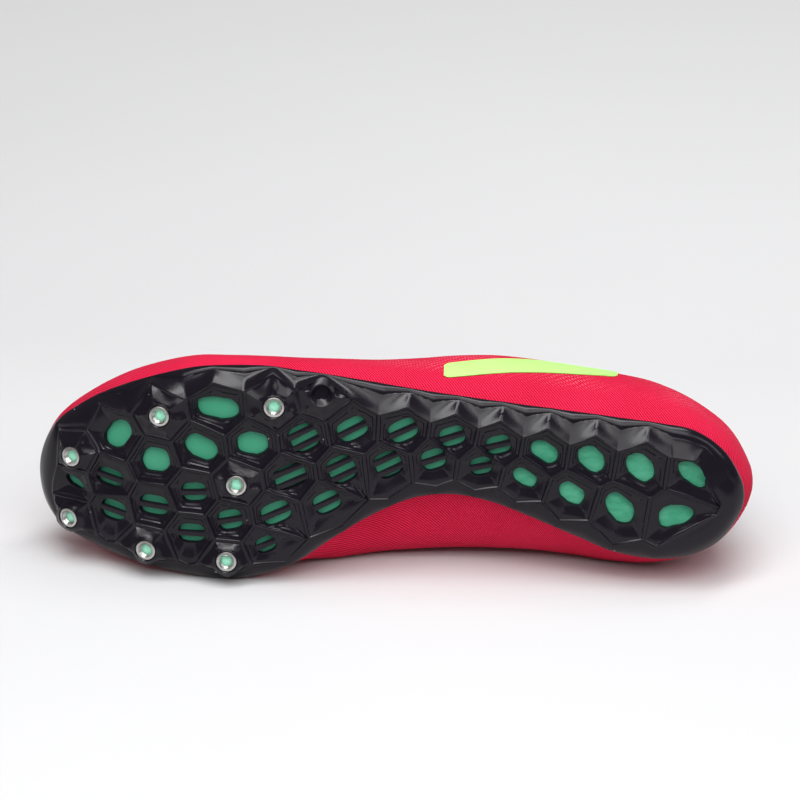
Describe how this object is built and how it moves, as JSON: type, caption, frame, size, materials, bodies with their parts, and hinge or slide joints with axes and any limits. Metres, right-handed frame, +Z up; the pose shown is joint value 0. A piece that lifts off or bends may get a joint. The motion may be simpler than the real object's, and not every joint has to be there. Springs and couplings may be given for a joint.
{
  "type": "track spike shoe",
  "caption": "Left track spike shoe lying on its side: honeycomb spike plate with empty steel spike seats, hollow low-cut woven upper, tongue, insole and lace bars.",
  "frame": {"origin": "centre of the shoe's footprint on the floor that it lies on", "axes": "+X from toe to heel, -Y the way the sole faces, +Z up, towards the shoe's lateral side"},
  "size_m": [0.2886, 0.0912, 0.0885],
  "materials": {
    "plate": "glossy moulded plastic, near black",
    "board": "satin sea green sheet",
    "upper": "crimson woven mesh with a fine diagonal rib",
    "tongue": "crimson woven padding",
    "insole": "dark brushed sock lining",
    "lace": "flat crimson braid",
    "spike_steel": "bare turned steel"
  },
  "bodies": {
    "root": {"outsole_plate": "plate", "board": "board", "upper": "upper", "tongue": "tongue", "insole": "insole", "lace_bar_1": "lace", "lace_bar_2": "lace", "lace_bar_3": "lace", "lace_bar_4": "lace", "lace_bar_5": "lace", "lace_bar_6": "lace", "spike_receptacle_1": "spike_steel", "spike_receptacle_2": "spike_steel", "spike_receptacle_3": "spike_steel", "spike_receptacle_4": "spike_steel", "spike_receptacle_5": "spike_steel", "spike_receptacle_6": "spike_steel", "spike_receptacle_7": "spike_steel"}
  },
  "joints": []
}
